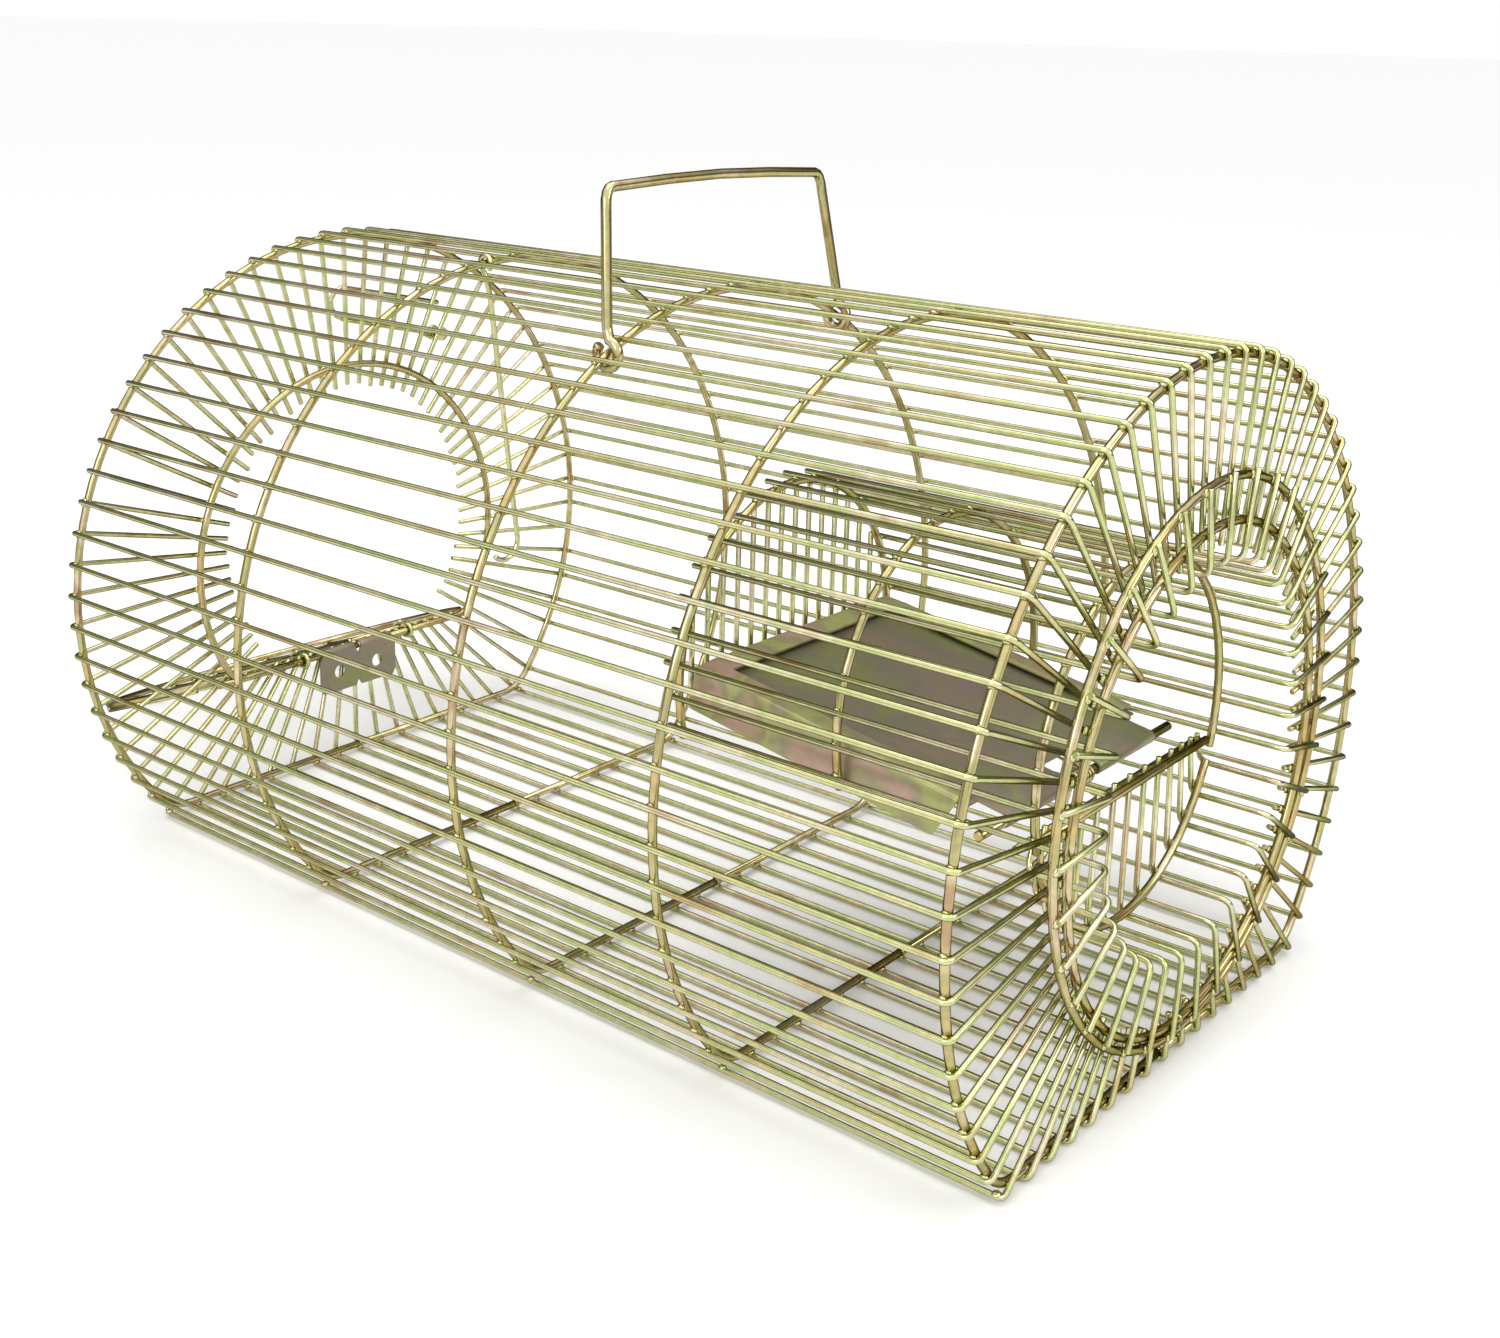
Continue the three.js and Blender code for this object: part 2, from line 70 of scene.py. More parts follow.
hoop_planes = [(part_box(name)[0][0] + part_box(name)[1][0]) / 2 for name in hoop_names]
rear_x, front_x = hoop_planes[0], hoop_planes[-1]
by_hand = random.Random(11)


def zinc_finish(name, colours, patch_size, roughness, speckle=0.12, stretch=(1, 1, 1),
                edge_tint=0.15, metallic=1):
    """Yellow zinc plating: the chromate film drifts between its colours in patches."""
    material = bpy.data.materials.new(name)
    material.use_nodes = True
    nodes, links = material.node_tree.nodes, material.node_tree.links
    shader = nodes["Principled BSDF"]
    shader.inputs["Metallic"].default_value = metallic
    shader.inputs["Specular Tint"].default_value = (edge_tint, edge_tint, edge_tint, 1)
    place = nodes.new("ShaderNodeTexCoord")
    lay = nodes.new("ShaderNodeMapping")
    lay.inputs["Scale"].default_value = stretch
    links.new(place.outputs["Object"], lay.inputs["Vector"])

    patches = nodes.new("ShaderNodeTexNoise")
    patches.inputs["Scale"].default_value = 1 / patch_size
    patches.inputs["Detail"].default_value = 3
    patches.inputs["Roughness"].default_value = 0.5
    patches.inputs["Distortion"].default_value = 0.8
    links.new(lay.outputs["Vector"], patches.inputs["Vector"])
    film = nodes.new("ShaderNodeValToRGB")
    film.color_ramp.interpolation = "EASE"
    ramp = film.color_ramp.elements
    while len(ramp) < len(colours):
        ramp.new(0.5)
    for index, colour in enumerate(colours):
        ramp[index].position = 0.3 + 0.4 * index / (len(colours) - 1)
        ramp[index].color = (*colour, 1)
    links.new(patches.outputs["Fac"], film.inputs["Fac"])

    grain = nodes.new("ShaderNodeTexNoise")
    grain.inputs["Scale"].default_value = 420
    grain.inputs["Detail"].default_value = 4
    links.new(lay.outputs["Vector"], grain.inputs["Vector"])
    dulling = nodes.new("ShaderNodeMapRange")
    dulling.inputs["From Min"].default_value = 0.35
    dulling.inputs["From Max"].default_value = 0.65
    dulling.inputs["To Min"].default_value = 1 - speckle
    dulling.inputs["To Max"].default_value = 1 + speckle / 3
    links.new(grain.outputs["Fac"], dulling.inputs["Value"])
    dulled = nodes.new("ShaderNodeVectorMath")
    dulled.operation = "SCALE"
    links.new(film.outputs["Color"], dulled.inputs[0])
    links.new(dulling.outputs["Result"], dulled.inputs["Scale"])
    links.new(dulled.outputs["Vector"], shader.inputs["Base Color"])

    sheen = nodes.new("ShaderNodeMapRange")
    sheen.inputs["To Min"].default_value = roughness * 1.3
    sheen.inputs["To Max"].default_value = roughness * 0.7
    links.new(grain.outputs["Fac"], sheen.inputs["Value"])
    links.new(sheen.outputs["Result"], shader.inputs["Roughness"])
    relief = nodes.new("ShaderNodeBump")
    relief.inputs["Strength"].default_value = 0.08
    relief.inputs["Distance"].default_value = 0.0001
    links.new(grain.outputs["Fac"], relief.inputs["Height"])
    links.new(relief.outputs["Normal"], shader.inputs["Normal"])
    return material


hoop_zinc = zinc_finish(
    "hoop_zinc",
    [(0.39, 0.29, 0.12), (0.55, 0.43, 0.2), (0.46, 0.42, 0.19), (0.63, 0.52, 0.32), (0.44, 0.31, 0.17)],
    0.03, 0.17,
)
wire_zinc = zinc_finish(
    "wire_zinc",
    [(0.52, 0.42, 0.2), (0.65, 0.61, 0.32), (0.55, 0.58, 0.27), (0.72, 0.66, 0.43), (0.57, 0.44, 0.25)],
    0.05, 0.17,
)


def draw_wire(mesh, path, radius, sides=10):
    """Draws a round wire along a path of points; both cut ends are slightly blunted."""
    blunt = 0.3 * radius
    first_heading = (path[1] - path[0]).normalized()
    last_heading = (path[-1] - path[-2]).normalized()
    stations = [(path[0], 0.75), (path[0] + first_heading * blunt, 1)]
    stations += [(point, 1) for point in path[1:-1]]
    stations += [(path[-1] - last_heading * blunt, 1), (path[-1], 0.75)]
    start = Matrix.Translation(path[0]) @ first_heading.to_track_quat("Z", "Y").to_matrix().to_4x4()
    ring = bmesh.ops.create_circle(
        mesh, cap_ends=True, segments=sides, radius=radius * 0.75, matrix=start
    )["verts"]
    edges = list({edge for vertex in ring for edge in vertex.link_edges})
    heading = first_heading
    for index in range(1, len(stations)):
        (before, old_size), (point, size) = stations[index - 1], stations[index]
        out = bmesh.ops.extrude_edge_only(mesh, edges=edges)["geom"]
        ring = [item for item in out if isinstance(item, bmesh.types.BMVert)]
        edges = [item for item in out if isinstance(item, bmesh.types.BMEdge)]
        bmesh.ops.translate(mesh, vec=point - before, verts=ring)
        if index < len(stations) - 1:
            ahead = (stations[index + 1][0] - point).normalized()
            middle = ((point - before).normalized() + ahead).normalized()
        else:
            middle = last_heading
        turn = heading.rotation_difference(middle).to_matrix()
        bmesh.ops.rotate(mesh, cent=point, matrix=turn, verts=ring)
        if size != old_size:
            grow = Vector((1, 1, 1)) * (size / old_size)
            bmesh.ops.scale(mesh, vec=grow, space=Matrix.Translation(-point), verts=ring)
        heading = middle
    bmesh.ops.edgeloop_fill(mesh, edges=edges)


def weld(mesh, point, along, across, height):
    """A spot weld: a small flattened nugget between two crossing wires."""
    size = 1 + by_hand.uniform(-0.18, 0.18)
    shape = Matrix.Translation(point) @ across.to_track_quat("Z", "Y").to_matrix().to_4x4()
    nugget = bmesh.ops.create_uvsphere(mesh, u_segments=8, v_segments=5, radius=1)["verts"]
    bmesh.ops.scale(mesh, vec=(along * size, along * size, height), verts=nugget)
    bmesh.ops.transform(mesh, matrix=shape, verts=nugget)


def make_piece(name, mesh, material, body, slot, *nodes):
    """Turns a drawn mesh into a piece that stands for CAD nodes and moves with a body."""
    bmesh.ops.recalc_face_normals(mesh, faces=mesh.faces)
    for face in mesh.faces:
        face.smooth = len(face.verts) <= 4
    data = bpy.data.meshes.new(name)
    mesh.to_mesh(data)
    mesh.free()
    data.materials.append(material)
    piece = bpy.data.objects.new(name, data)
    bpy.context.scene.collection.objects.link(piece)
    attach(piece, body)
    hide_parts(*nodes)
    return piece


def on_circle(x, radius, angle, centre=0.0):
    """A point on a circle round the barrel's direction; centre is above the barrel's axis."""
    return Vector((x, radius * math.cos(angle), axis_z + centre + radius * math.sin(angle)))


def eased(start, corner, end, steps=5):
    """Points of a smooth bend from start to end that is drawn towards corner."""
    return [
        start.lerp(corner, t / steps).lerp(corner.lerp(end, t / steps), t / steps)
        for t in range(steps + 1)
    ]


def flat_footed_ring(x, radius, foot, corner, steps):
    """The path of a ring with a flat foot, from the middle of the foot and all the way round."""
    corner_angle = math.asin(foot / radius)
    first = corner_angle + corner / radius
    foot_end = Vector((x, radius * math.cos(corner_angle), axis_z + foot))
    half = [Vector((x, 0.0001, axis_z + foot))]
    half += eased(foot_end - Vector((0, corner, 0)), foot_end, on_circle(x, radius, first))
    half += [
        on_circle(x, radius, first + (math.pi / 2 - first) * i / steps) for i in range(1, steps)
    ]
    other = [Vector((point.x, -point.y, point.z)) for point in reversed(half)]
    return half + [on_circle(x, radius, math.pi / 2)] + other


for name, x in zip(hoop_names, hoop_planes):
    hoop = bmesh.new()
    draw_wire(hoop, flat_footed_ring(x, barrel_radius, foot_height, 0.008, 36), hoop_wire, 12)
    weld(hoop, Vector((x, 0, axis_z + foot_height)), 0.0016, Vector((0, 1, 0)), 0.0014)
    make_piece(name + "_piece", hoop, hoop_zinc, "cage", "hoop_wire", name)

# --- Rear, throat and mouth rings -----------------------------------------------------------
# The rear ring has a straight foot that carries the door. The throat ring lies on the front ends
# of the cage wires, inside the mouth ring that carries the tunnel. All three are hoop wire.
rear_ring_radius = 0.072
rear_bar_height = -0.042
rear_ring = bmesh.new()
draw_wire(rear_ring, flat_footed_ring(rear_x, rear_ring_radius, rear_bar_height, 0.005, 26),
          hoop_wire, 12)
bar_z = axis_z + rear_bar_height
draw_wire(rear_ring, [Vector((rear_x, y, bar_z)) for y in (-0.0665, -0.05, -0.03)], hoop_wire, 12)
make_piece("rear_ring_piece", rear_ring, hoop_zinc, "cage", "hoop_wire", "rear_ring")


def round_ring(name, radius, centre):
    """A full ring, spun from one round section."""
    low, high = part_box(name)
    x = (low[0] + high[0]) / 2
    ring = bmesh.new()
    lay = Matrix.Translation(on_circle(x, radius, 0, centre))
    section = bmesh.ops.create_circle(ring, segments=12, radius=hoop_wire, matrix=lay)["verts"]
    edges = list({edge for vertex in section for edge in vertex.link_edges})
    bmesh.ops.spin(
        ring, geom=section + edges, cent=(x, 0, axis_z + centre), axis=(1, 0, 0),
        angle=2 * math.pi, steps=72, use_merge=True,
    )
    weld(ring, on_circle(x, radius, -math.pi / 2, centre), 0.0016, Vector((0, 1, 0)), 0.0014)
    make_piece(name + "_piece", ring, hoop_zinc, "cage", "hoop_wire", name)
    return x


throat_ring_radius, throat_height = 0.074, 0.0027
mouth_ring_radius, mouth_height = 0.0819, 0.0075
round_ring("throat_ring", throat_ring_radius, throat_height)
mouth_x = round_ring("mouth_ring", mouth_ring_radius, mouth_height)

# --- Long cage wires ------------------------------------------------------------------------
# Thin straight wires lie on the outside of all five hoops, spot-welded at every crossing. Each
# turns in over the first and the last hoop and is cut off short of the opening.
cage_wire = 0.0009
lay_over = hoop_wire + cage_wire - 0.0001
rear_face = rear_x - lay_over
front_face = front_x + lay_over
wires_over_arc = 53
wires_under_floor = 15
wires_per_panel = 5
rear_cut_radius, rear_cut_height = 0.058, 0.0055
front_cut_radius = 0.0695
cut_slip = 0.0012
lowest_angle = math.asin(foot_height / barrel_radius)


def rounded(corners, radius, steps=4):
    """A path through corners, each corner bent to about that radius."""
    path = [corners[0]]
    for before, corner, after in zip(corners, corners[1:], corners[2:]):
        back, ahead = (before - corner).normalized(), (after - corner).normalized()
        cut = radius * math.tan((math.pi - back.angle(ahead)) / 2)
        path += eased(corner + back * cut, corner, corner + ahead * cut, steps)
    return path + [corners[-1]]


def long_wire(mesh, outside, rear_end, front_end, rear_weld, front_weld):
    """One cage wire with its welds; every place is a pair of Y and Z in the hoops' planes."""
    corners = [
        Vector((rear_face, *rear_end)), Vector((rear_face, *outside)),
        Vector((front_face, *outside)), Vector((front_face, *front_end)),
    ]
    draw_wire(mesh, rounded(corners, 0.0021), cage_wire)
    inward = (Vector((0, 0, axis_z)) - Vector((0, *outside))).normalized()
    if outside[1] < axis_z + foot_height:
        inward = Vector((0, 0, 1))
    for x in hoop_planes:
        spot = Vector((x, *outside)) + inward * (cage_wire - 0.0001)
        weld(mesh, spot, 0.0014, inward, 0.00075)
    for x, place in ((rear_face + 0.0009, rear_weld), (front_face + 0.0011, front_weld)):
        weld(mesh, Vector((x, *place)), 0.0014, Vector((1, 0, 0)), 0.0008)


def throat_reach(angle):
    """How far from the barrel's axis the throat ring is in that direction."""
    rise, across = throat_height * math.sin(angle), throat_height * math.cos(angle)
    return rise + math.sqrt(throat_ring_radius ** 2 - across ** 2)


def arc_wire(mesh, index):
    """A wire over the round part of the hoops."""
    angle = lowest_angle + (math.pi - 2 * lowest_angle) * index / (wires_over_arc - 1)
    bar_distance = abs(rear_bar_height / math.sin(angle)) if math.sin(angle) < 0 else 1
    cut = by_hand.uniform(-cut_slip, cut_slip)
    if bar_distance < rear_ring_radius:
        rear_reach = bar_distance - 0.0015
        rear_hold = bar_distance
    else:
        rear_reach = rear_cut_height * math.sin(angle) + math.sqrt(
            rear_cut_radius ** 2 - (rear_cut_height * math.cos(angle)) ** 2
        ) + cut
        rear_hold = rear_ring_radius
    spots = [
        on_circle(0, reach, angle).yz
        for reach in (
            barrel_radius + lay_over, rear_reach, front_cut_radius - cut, rear_hold, throat_reach(angle),
        )
    ]
    long_wire(mesh, *spots)


def floor_wire(mesh, index):
    """A wire under the flat feet of the hoops; its rear end leans in to the rear ring's bar."""
    half_width = math.sqrt(barrel_radius ** 2 - foot_height ** 2)
    y = half_width * (2 * (index + 1) / (wires_under_floor + 1) - 1)
    under = foot_height - lay_over
    aim = 0.002
    lean = [y * (aim - height) / (aim - under) for height in (rear_bar_height + 0.0015, rear_bar_height)]
    angle = math.atan2(under, y)
    cut = by_hand.uniform(-cut_slip, cut_slip)
    long_wire(
        mesh, (y, axis_z + under), (lean[0], bar_z + 0.0015),
        on_circle(0, front_cut_radius + cut, angle).yz,
        (lean[1], bar_z), on_circle(0, throat_reach(angle), angle).yz,
    )


for prefix, count, draw in (
    ("cage_wires_", wires_over_arc, arc_wire), ("floor_wires_", wires_under_floor, floor_wire),
):
    for start in range(0, count, wires_per_panel):
        name = "%s%02d" % (prefix, start // wires_per_panel + 1)
        panel = bmesh.new()
        for index in range(start, min(start + wires_per_panel, count)):
            draw(panel, index)
        make_piece(name + "_piece", panel, wire_zinc, "cage", "cage_wire", name)

# --- Tunnel and funnel wires ----------------------------------------------------------------
# Thirty-five wires start on the face of the mouth ring and turn in to the tunnel. The upper ones
# run back along the arches to its end; the lower ones turn up and lean in to the sill bar.
tunnel_radius, tunnel_height = 0.057, 0.0085
tunnel_wires = 35
upper_each_side = 10
last_wire = (tunnel_wires - 1) // 2
tunnel_face = mouth_x + lay_over
grid_x = rear_x + 0.3385
sill_height = -0.0054


def tunnel_wire(mesh, index):
    """One tunnel wire, counted from the top; positive numbers are on the right side."""
    angle = math.pi / 2 + 2 * math.pi * index / tunnel_wires
    tail = by_hand.uniform(0.0004, 0.0014)
    corners = [
        on_circle(tunnel_face, mouth_ring_radius + tail, angle, tunnel_height),
        on_circle(tunnel_face, tunnel_radius, angle, tunnel_height),
    ]
    if abs(index) <= upper_each_side:
        end_x = rear_x + 0.213 + by_hand.uniform(-0.0007, 0.0007)
        corners.append(on_circle(end_x, tunnel_radius, angle, tunnel_height))
        for name in ("tunnel_arch_back", "tunnel_arch_middle", "tunnel_arch_front"):
            low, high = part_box(name)
            spot = on_circle((low[0] + high[0]) / 2, tunnel_radius - 0.0009, angle, tunnel_height)
            weld(mesh, spot, 0.0013, Vector((0, math.cos(angle), math.sin(angle))), 0.0008)
    else:
        low = on_circle(grid_x, tunnel_radius, angle, tunnel_height)
        corners += [low, Vector((grid_x, 0.92 * low.y, axis_z + sill_height + 0.0018))]
    draw_wire(mesh, rounded(corners, 0.0034, 6), cage_wire)
    spot = on_circle(tunnel_face - 0.0011, mouth_ring_radius, angle, mouth_height)
    weld(mesh, spot, 0.0014, Vector((1, 0, 0)), 0.0008)


for name, first, last in (
    ("tunnel_roof_wires_left", -upper_each_side, -4), ("tunnel_roof_wires_top", -3, 3),
    ("tunnel_roof_wires_right", 4, upper_each_side),
    ("funnel_floor_wires_left", -last_wire, -upper_each_side - 1),
    ("funnel_floor_wires_right", upper_each_side + 1, last_wire),
):
    group = bmesh.new()
    for index in range(first, last + 1):
        tunnel_wire(group, index)
    make_piece(name + "_piece", group, wire_zinc, "cage", "cage_wire", name)

# --- Arches and sill ------------------------------------------------------------------------
# Three arches of hoop wire hold the tunnel's roof from inside. A half ring, a sill bar and a
# second bar behind it close the funnel's floor; all are welded to the tunnel wires.
arch_radius = tunnel_radius - hoop_wire - cage_wire + 0.0001
arch_xs = []
for name in ("tunnel_arch_back", "tunnel_arch_middle", "tunnel_arch_front"):
    low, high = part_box(name)
    x = (low[0] + high[0]) / 2
    arch_xs.append(x)
    arch = bmesh.new()
    legs = math.radians(-18)
    path = [on_circle(x, arch_radius, legs + (math.pi - 2 * legs) * i / 28, tunnel_height)
            for i in range(29)]
    draw_wire(arch, path, hoop_wire, 12)
    make_piece(name + "_piece", arch, hoop_zinc, "cage", "hoop_wire", name)

half_ring = bmesh.new()
draw_wire(half_ring, [
    on_circle(arch_xs[2], arch_radius, math.radians(202 + 136 * i / 20), tunnel_height)
    for i in range(21)
], hoop_wire, 12)
make_piece("sill_half_ring_piece", half_ring, hoop_zinc, "cage", "hoop_wire", "sill_half_ring")

for name in ("sill_bar", "sill_rear_bar", "pivot_rod"):
    low, high = (Vector(corner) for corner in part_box(name))
    middle = (low + high) / 2
    bar = bmesh.new()
    radius = (high.z - low.z) / 2
    draw_wire(bar, [Vector((middle.x, low.y, middle.z)), middle,
                    Vector((middle.x, high.y, middle.z))], radius, 14)
    make_piece(name + "_piece", bar, hoop_zinc, "cage", "hoop_wire", name)

# --- Back grille ----------------------------------------------------------------------------
# Upright thin wires close the tunnel's far end above the treadle. They hang on the last arch and
# are joined by one cross wire at the foot.
grille = bmesh.new()
grille_x = arch_xs[0] - lay_over
grille_foot = axis_z + 0.005
for index in range(14):
    y = (index - 6.5) * 0.0072
    top = axis_z + tunnel_height + math.sqrt(arch_radius ** 2 - y ** 2)
    draw_wire(grille, [Vector((grille_x, y, z)) for z in (grille_foot - 0.002, grille_foot, top)],
              cage_wire)
    weld(grille, Vector((grille_x + 0.0009, y, top - 0.0006)), 0.0013, Vector((1, 0, 0)), 0.0008)
draw_wire(grille, [Vector((grille_x - 0.0017, y, grille_foot)) for y in (-0.049, 0, 0.049)], cage_wire)
make_piece("back_grille_piece", grille, wire_zinc, "cage", "cage_wire", "back_grille")

# --- Treadle --------------------------------------------------------------------------------
# A plate of thin sheet steel fills the tunnel's floor. Its two ears are curled round a fixed rod
# at the front, so that its rear edge drops under an animal's weight.
rod_low, rod_high = (Vector(corner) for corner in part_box("pivot_rod"))
pivot = (rod_low + rod_high) / 2
tilt = Matrix.Translation(pivot) @ Matrix.Rotation(math.radians(9.4), 4, "Y")
sheet = 0.0008

# Painted shade: these are the frame's colours darkened, standing in for the shadow on the plate in the
# tunnel's floor; the hinge plate gets the same darkened colours. The drifting patches between them are
# the plating's own tint.
sheet_zinc_painted_shade = zinc_finish(
    "sheet_zinc_painted_shade",
    [(0.31, 0.22, 0.22), (0.3, 0.24, 0.17), (0.26, 0.23, 0.17), (0.27, 0.28, 0.12), (0.25, 0.24, 0.16),
     (0.31, 0.25, 0.19), (0.31, 0.24, 0.31)],
    0.06, 0.38, speckle=0.06, stretch=(0.6, 1, 1), edge_tint=1, metallic=0.6,
)
# Painted light: the plate's colours brightened, so that the frame's skirt on the near side looks lit.
# The drifting patches between them are the plating's own tint.
frame_zinc_painted_light = zinc_finish(
    "frame_zinc_painted_light",
    [(0.56, 0.33, 0.32), (0.46, 0.36, 0.22), (0.36, 0.31, 0.18), (0.44, 0.46, 0.18), (0.36, 0.33, 0.2),
     (0.52, 0.35, 0.28), (0.44, 0.36, 0.48)],
    0.035, 0.4, speckle=0.06, stretch=(0.8, 1, 1), edge_tint=1, metallic=0.6,
)


def sheet_piece(name, mesh, material, body, *nodes):
    """Gives a folded sheet its thickness and small rounded edges, and makes it a piece."""
    bmesh.ops.recalc_face_normals(mesh, faces=mesh.faces)
    bmesh.ops.solidify(mesh, geom=mesh.faces[:], thickness=sheet)
    edges = [edge for edge in mesh.edges if edge.is_manifold and edge.calc_face_angle(0) > 0.6]
    bmesh.ops.bevel(
        mesh, geom=edges, offset=0.00018, offset_type="OFFSET", segments=2, profile=0.5,
        affect="EDGES", material=-1, clamp_overlap=True,
    )
    piece = make_piece(name, mesh, material, body, "tread_sheet", *nodes)
    piece.data.shade_smooth()
    piece.data.set_sharp_from_angle(angle=math.radians(32))
    return piece


def cut_grid(xs, ys, z):
    """A flat sheet divided at the given places along and across."""
    mesh = bmesh.new()
    bmesh.ops.create_grid(mesh, x_segments=len(xs) - 1, y_segments=len(ys) - 1, size=1)
    for vertex in mesh.verts:
        column = round((vertex.co.x + 1) / 2 * (len(xs) - 1))
        row = round((vertex.co.y + 1) / 2 * (len(ys) - 1))
        vertex.co = Vector((xs[column], ys[row], z))
    return mesh


plate_rear, plate_front = -0.105, -0.009
plate_ys = [-0.0492, -0.043, -0.0085, 0.0085, 0.043, 0.0492]
curl = (rod_high.z - rod_low.z) / 2 + 0.0003 + sheet / 2
plate = cut_grid([plate_rear, -0.06, plate_front], plate_ys, curl)
ear_edges = [
    edge for edge in plate.edges
    if all(abs(vertex.co.x - plate_front) < 1e-6 for vertex in edge.verts)
    and 0.01 < abs(sum(vertex.co.y for vertex in edge.verts) / 2) < 0.045
]
ears = bmesh.ops.extrude_edge_only(plate, edges=ear_edges)["geom"]
bmesh.ops.translate(plate, vec=(-plate_front, 0, 0),
                    verts=[item for item in ears if isinstance(item, bmesh.types.BMVert)])
bmesh.ops.spin(
    plate, geom=[item for item in ears if isinstance(item, bmesh.types.BMEdge)],
    cent=(0, 0, 0), axis=(0, 1, 0), angle=math.radians(245), steps=14,
)
bmesh.ops.remove_doubles(plate, verts=plate.verts, dist=1e-6)
bmesh.ops.translate(plate, vec=(0, 0, sheet / 2), verts=plate.verts)
bmesh.ops.transform(plate, matrix=tilt, verts=plate.verts)
sheet_piece("treadle_plate_piece", plate, sheet_zinc_painted_shade, "treadle", "treadle_plate")

# The fixed frame over the plate's edges is one folded sheet: a lip on three sides that stops the
# plate on its way up, and a skirt outside it. It is crimped to the arches' legs.
frame_half, frame_lip, frame_skirt = 0.0506, 0.008, 0.0145
frame_top = (rod_high.z - rod_low.z) / 2 + 0.0003 + sheet + 0.0012 + sheet
frame_rear, frame_front = plate_rear - 0.0024, plate_front - 0.002
surround = cut_grid(
    [frame_rear, frame_rear + frame_lip, frame_front],
    [-frame_half, frame_lip - frame_half, frame_half - frame_lip, frame_half], frame_top,
)
opening = [
    face for face in surround.faces
    if face.calc_center_median().x > frame_rear + frame_lip
    and abs(face.calc_center_median().y) < frame_half - frame_lip
]
bmesh.ops.delete(surround, geom=opening, context="FACES")
outer = [
    edge for edge in surround.edges
    if all(abs(abs(vertex.co.y) - frame_half) < 1e-6 for vertex in edge.verts)
    or all(abs(vertex.co.x - frame_rear) < 1e-6 for vertex in edge.verts)
]
skirt = bmesh.ops.extrude_edge_only(surround, edges=outer)["geom"]
for item in skirt:
    if isinstance(item, bmesh.types.BMVert):
        item.co.z -= frame_skirt
        if abs(item.co.x - frame_front) < 1e-6:
            item.co.x -= 0.006
bmesh.ops.bevel(
    surround, geom=outer, offset=0.0011, offset_type="OFFSET", segments=4, profile=0.5,
    affect="EDGES", material=-1,
)
bmesh.ops.transform(surround, matrix=tilt, verts=surround.verts)
sheet_piece("tread_frame_piece", surround, frame_zinc_painted_light, "cage", "tread_frame")

# A torsion spring of thin wire sits on the rod between the ears and lifts the treadle again. One
# leg lies under the plate and the other reaches to the bar behind the sill.
spring = bmesh.new()
coil_radius = (rod_high.z - rod_low.z) / 2 + 0.0003 + 0.0005
coil_turns, coil_pitch = 5.5, 0.0016
coil = [
    tilt @ Vector((coil_radius * math.cos(math.tau * i / 12),
                   coil_pitch * (i / 12 - coil_turns / 2),
                   coil_radius * math.sin(math.tau * i / 12)))
    for i in range(int(coil_turns * 12) + 1)
]
half_coil = coil_turns * coil_pitch / 2
draw_wire(
    spring,
    [tilt @ Vector((0.009, -half_coil, -0.0012))] + coil + [tilt @ Vector((-0.016, half_coil, 0.0009))],
    0.0005, 8,
)
make_piece("return_spring_piece", spring, hoop_zinc, "treadle", "spring_wire", "return_spring")

# --- Carrying handle ------------------------------------------------------------------------
# One length of the thickest wire, bent to a square bail. Each end is curled into an eye that
# hangs loose on the middle hoop, so that the handle can fall to either side.
wire_pitch = (math.pi - 2 * lowest_angle) / (wires_over_arc - 1)
eye_place = on_circle(hoop_planes[2], barrel_radius, math.pi / 2 - 5.5 * wire_pitch)
handle_place = Matrix.Translation((eye_place.x, 0, eye_place.z)) @ Matrix.Rotation(
    math.radians(-7), 4, "Y"
)
handle_height, eye_radius = 0.0485, 0.0042
eye = [
    Vector((eye_radius * math.cos(math.radians(a)), eye_place.y, eye_radius * math.sin(math.radians(a))))
    for a in range(135, 436, 20)
]
side = [
    Vector((0.0006, eye_place.y, 0.008)), Vector((0, 0.0535, handle_height - 0.006)),
    Vector((0, 0.05, handle_height + 0.0005)), Vector((0, 0.025, handle_height + 0.0016)),
    Vector((0, 0, handle_height + 0.0021)),
]
half_bail = eye + [side[0]] + eased(side[0], side[1].lerp(side[0], 0.2), side[1], 3)[1:]
half_bail += eased(side[1], Vector((0, 0.0532, handle_height + 0.0002)), side[2], 4)[1:] + side[3:4]
other_half = [Vector((point.x, -point.y, point.z)) for point in reversed(half_bail)]
bail = bmesh.new()
draw_wire(bail, [handle_place @ point for point in half_bail + [side[4]] + other_half], 0.00165, 14)
make_piece("handle_bail_piece", bail, hoop_zinc, "handle", "hoop_wire", "handle_bail")

# --- Bait hook ------------------------------------------------------------------------------
# A long thin wire hangs by an open eye from the top of the second hoop. It slants across to the
# middle of the barrel and ends in an upturned hook for the bait.
hook_y = -0.0133
hook_top = Vector((hoop_planes[1], hook_y, axis_z + math.sqrt(barrel_radius ** 2 - hook_y ** 2)))
slant, hang, bend = 0.0015 - hook_y, 0.102, 0.0065
hook_path = [
    Vector((0.0026 * math.cos(math.radians(a)), 0, 0.0026 * math.sin(math.radians(a))))
    for a in range(-55, 216, 18)
]
hook_path += [Vector((-0.0006, 0.0006, -0.005)), Vector((0, 0.002, -0.012)), Vector((0, slant, -hang))]
hook_path += [
    Vector((0, slant + bend * (math.cos(math.radians(a)) - 1), bend * math.sin(math.radians(a)) - hang))
    for a in range(-20, -141, -20)
]
hook = bmesh.new()
draw_wire(hook, [hook_top + point for point in hook_path], 0.00095, 10)
make_piece("bait_hook_piece", hook, wire_zinc, "bait_hook", "cage_wire", "bait_hook")

